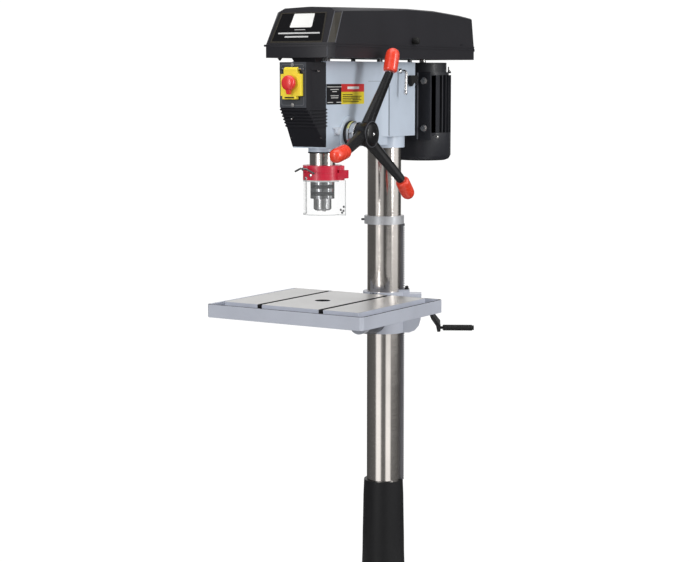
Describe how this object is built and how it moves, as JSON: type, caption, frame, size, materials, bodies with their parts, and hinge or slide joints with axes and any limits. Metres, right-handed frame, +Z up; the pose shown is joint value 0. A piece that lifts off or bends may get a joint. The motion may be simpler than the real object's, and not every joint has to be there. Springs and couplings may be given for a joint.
{
  "type": "pillar drill",
  "caption": "Floor standing drill press: round column on a cast foot, geared lifting and tilting slotted table, belt driven spindle with chuck and guard, three lever feed",
  "frame": {"origin": "on the floor at the centre of the four anchor holes", "axes": "+Z up along the column, -Y to the front where the operator stands, +X to the side of the feed levers"},
  "size_m": [0.468, 0.81, 1.706],
  "materials": {
    "foot_black": "satin painted casting",
    "screw_steel": "oiled steel",
    "column_steel": "ground steel tube",
    "ring_steel": "turned steel",
    "rack_steel": "milled steel",
    "head_paint": "smooth semi gloss enamel",
    "black_plastic": "moulded black plastic",
    "dark_steel": "black oxide steel",
    "gear_steel": "cut steel",
    "black_paint": "gloss black enamel",
    "table_iron": "ground top, pale enamel rim",
    "casing_black": "glossy moulded plastic",
    "bright_screws": "plated screws",
    "switch_grey": "fine grained plastic",
    "flap_yellow": "glossy moulded plastic",
    "stop_red": "glossy moulded plastic",
    "start_green": "glossy moulded plastic",
    "quill_steel": "ground steel",
    "bearing_steel": "ground races",
    "chuck_steel": "turned steel",
    "chuck_dark": "dark turned steel",
    "jaw_steel": "hardened steel",
    "guard_red": "glossy moulded plastic",
    "guard_clear": "clear moulded plastic",
    "grip_red": "glossy dipped plastic",
    "ring_scale": "plated ring with a dark graduated band",
    "tray_black": "satin black enamel",
    "pulley_alloy": "turned alloy",
    "belt_rubber": "fabric covered rubber",
    "motor_black": "satin black enamel",
    "bar_steel": "ground steel"
  },
  "bodies": {
    "stand": {"base": "foot_black", "column_support": "foot_black", "pillar_screws": "screw_steel", "column": "column_steel", "rack_ring": "ring_steel", "head_casting": "head_paint", "front_casing": "casing_black", "casing_screws": "bright_screws", "switch_box": "switch_grey", "spring_cup": "black_paint", "belt_tray": "tray_black", "standoffs": "screw_steel", "lid_hinges": "screw_steel", "pulley_bearings": "bearing_steel", "drive_belts": "belt_rubber"},
    "rack_carrier": {"rack": "rack_steel"},
    "bracket": {"table_bracket": "head_paint", "tilt_bolt": "dark_steel"},
    "bracket_lever": {"bracket_clamp": "black_plastic"},
    "lift_wheel": {"lift_gear": "gear_steel"},
    "crank": {"worm_shaft": "gear_steel", "crank_lever": "black_paint"},
    "crank_handle": {"crank_grip": "black_plastic"},
    "table_top": {"table": "table_iron"},
    "quill_set": {"quill": "quill_steel", "spindle_bearings": "bearing_steel", "guard_ring": "guard_red"},
    "guard_clamp": {"guard_screw": "bright_screws"},
    "guard_door": {"guard_frame": "guard_red", "guard_shield": "guard_clear"},
    "spindle_set": {"spindle": "quill_steel", "chuck_body": "chuck_steel"},
    "chuck_grip": {"chuck_sleeve": "chuck_dark"},
    "jaw_one": {"jaw_a": "jaw_steel"},
    "jaw_two": {"jaw_b": "jaw_steel"},
    "jaw_three": {"jaw_c": "jaw_steel"},
    "feed_set": {"feed_shaft": "gear_steel", "feed_hub": "black_paint", "lever_grips": "grip_red", "depth_ring": "ring_scale"},
    "depth_stop": {"depth_lock": "bright_screws"},
    "flap": {"switch_flap": "flap_yellow"},
    "mushroom": {"stop_mushroom": "stop_red"},
    "start_push": {"start_button": "start_green"},
    "stop_push": {"stop_button": "stop_red"},
    "lid": {"belt_lid": "tray_black", "lid_knob": "black_plastic"},
    "front_pulley": {"spindle_pulley": "pulley_alloy"},
    "idler": {"idler_arm": "dark_steel"},
    "middle_pulley": {"idler_pulley": "pulley_alloy"},
    "motor_unit": {"motor_body": "motor_black", "fan_cover": "motor_black", "motor_plate": "motor_black", "slide_bars": "bar_steel", "foot_bolts": "bright_screws", "terminal_box": "black_plastic"},
    "motor_shaft": {"motor_rotor": "gear_steel", "motor_pulley": "pulley_alloy"},
    "tension": {"tension_lever": "bar_steel"},
    "bar_screw": {"bar_lock": "black_plastic"}
  },
  "joints": [
    {"name": "table_swivel", "type": "hinge", "parent": "stand", "child": "rack_carrier", "pos_m": [0, 0.16, 0.9], "axis": [0, 0, 1], "range_deg": [-180, 180]},
    {"name": "table_lift", "type": "slide", "parent": "rack_carrier", "child": "bracket", "axis": [0, 0, 1], "range_m": [-0.4, 0.105]},
    {"name": "table_tilt", "type": "hinge", "parent": "bracket", "child": "table_top", "pos_m": [0, 0.036, 0.872], "axis": [0, 1, 0], "range_deg": [-45, 45]},
    {"name": "bracket_clamp_turn", "type": "hinge", "parent": "bracket", "child": "bracket_lever", "pos_m": [-0.085, 0.16, 0.892], "axis": [1, 0, 0], "range_deg": [-10, 80]},
    {"name": "lift_gear_turn", "type": "hinge", "parent": "bracket", "child": "lift_wheel", "pos_m": [0.05716, 0.193, 0.89], "axis": [0.5, -0.866, 0], "range_deg": [-1920, 510]},
    {"name": "crank_turn", "type": "hinge", "parent": "bracket", "child": "crank", "pos_m": [0.10392, 0.22, 0.912], "axis": [0.866, 0.5, 0], "range_deg": [-22930, 6030]},
    {"name": "crank_grip_spin", "type": "hinge", "parent": "crank", "child": "crank_handle", "pos_m": [0.13808, 0.32083, 0.83667], "axis": [0.866, 0.5, 0], "continuous": true},
    {"name": "quill_feed", "type": "slide", "parent": "stand", "child": "quill_set", "axis": [0, 0, -1], "range_m": [0, 0.08], "stiffness_N_per_m": 320, "springref_m": -0.34},
    {"name": "feed_turn", "type": "hinge", "parent": "stand", "child": "feed_set", "pos_m": [0.06, -0.103, 1.3815], "axis": [1, 0, 0], "range_deg": [0, 328]},
    {"name": "motor_spin", "type": "hinge", "parent": "motor_unit", "child": "motor_shaft", "pos_m": [0, 0.367, 1.6], "axis": [0, 0, 1], "continuous": true},
    {"name": "middle_pulley_spin", "type": "hinge", "parent": "idler", "child": "middle_pulley", "pos_m": [0, 0.11, 1.63], "axis": [0, 0, 1], "continuous": true},
    {"name": "front_pulley_spin", "type": "hinge", "parent": "stand", "child": "front_pulley", "pos_m": [0, -0.148, 1.6], "axis": [0, 0, 1], "continuous": true},
    {"name": "spindle_spin", "type": "hinge", "parent": "quill_set", "child": "spindle_set", "pos_m": [0, -0.148, 1.3], "axis": [0, 0, 1], "continuous": true},
    {"name": "motor_slide", "type": "slide", "parent": "stand", "child": "motor_unit", "axis": [0, 1, 0], "range_m": [-0.025, 0], "deforming": ["drive_belts"]},
    {"name": "tension_turn", "type": "hinge", "parent": "stand", "child": "tension", "pos_m": [0.05, 0.138, 1.541], "axis": [1, 0, 0], "range_deg": [-46, 1]},
    {"name": "idler_swing", "type": "hinge", "parent": "stand", "child": "idler", "pos_m": [0, 0.18, 1.595], "axis": [0, 0, 1], "range_deg": [-4, 4], "deforming": ["drive_belts"]},
    {"name": "lid_open", "type": "hinge", "parent": "stand", "child": "lid", "pos_m": [-0.107, 0.1, 1.605], "axis": [0, -1, 0], "range_deg": [0, 95]},
    {"name": "flap_open", "type": "hinge", "parent": "stand", "child": "flap", "pos_m": [0, -0.2885, 1.5455], "axis": [-1, 0, 0], "range_deg": [0, 110]},
    {"name": "mushroom_press", "type": "slide", "parent": "flap", "child": "mushroom", "axis": [0, 1, 0], "range_m": [0, 0.003], "stiffness_N_per_m": 600, "springref_m": -0.002},
    {"name": "start_press", "type": "slide", "parent": "stand", "child": "start_push", "axis": [0, 1, 0], "range_m": [0, 0.002], "stiffness_N_per_m": 400, "springref_m": -0.002},
    {"name": "stop_press", "type": "slide", "parent": "stand", "child": "stop_push", "axis": [0, 1, 0], "range_m": [0, 0.0015], "stiffness_N_per_m": 400, "springref_m": -0.002},
    {"name": "guard_swing", "type": "hinge", "parent": "quill_set", "child": "guard_door", "pos_m": [0.058, -0.148, 1.28], "axis": [0, 0, 1], "range_deg": [0, 90]},
    {"name": "guard_screw_turn", "type": "hinge", "parent": "quill_set", "child": "guard_clamp", "pos_m": [-0.01948, -0.19621, 1.294], "axis": [-0.3746, -0.9272, 0], "range_deg": [-90, 90]},
    {"name": "chuck_turn", "type": "hinge", "parent": "spindle_set", "child": "chuck_grip", "pos_m": [0, -0.148, 1.24], "axis": [0, 0, 1], "range_deg": [0, 360]},
    {"name": "jaw_a_slide", "type": "slide", "parent": "spindle_set", "child": "jaw_one", "axis": [0, -0.2079, -0.9781], "range_m": [0, 0.0081]},
    {"name": "jaw_b_slide", "type": "slide", "parent": "spindle_set", "child": "jaw_two", "axis": [0.1801, 0.104, -0.9781], "range_m": [0, 0.0081]},
    {"name": "jaw_c_slide", "type": "slide", "parent": "spindle_set", "child": "jaw_three", "axis": [-0.1801, 0.104, -0.9781], "range_m": [0, 0.0081]},
    {"name": "depth_stop_turn", "type": "hinge", "parent": "stand", "child": "depth_stop", "pos_m": [0.05, -0.165, 1.389], "axis": [1, 0, 0], "range_deg": [0, 360]},
    {"name": "bar_lock_turn", "type": "hinge", "parent": "stand", "child": "bar_screw", "pos_m": [0.06, 0.19, 1.51], "axis": [1, 0, 0], "range_deg": [0, 360]}
  ],
  "couplings": [
    {"joint": "lift_gear_turn", "follows": "table_lift", "rad_per_m": 83.333},
    {"joint": "crank_turn", "follows": "table_lift", "rad_per_m": 1000},
    {"joint": "feed_turn", "follows": "quill_feed", "rad_per_m": 71.429},
    {"joint": "middle_pulley_spin", "follows": "motor_spin", "ratio": 1},
    {"joint": "front_pulley_spin", "follows": "motor_spin", "ratio": 1.2857},
    {"joint": "spindle_spin", "follows": "motor_spin", "ratio": 1.2857},
    {"joint": "tension_turn", "follows": "motor_slide", "rad_per_m": 31.4},
    {"joint": "jaw_a_slide", "follows": "chuck_turn", "m_per_rad": 0.00127},
    {"joint": "jaw_b_slide", "follows": "chuck_turn", "m_per_rad": 0.00127},
    {"joint": "jaw_c_slide", "follows": "chuck_turn", "m_per_rad": 0.00127}
  ]
}
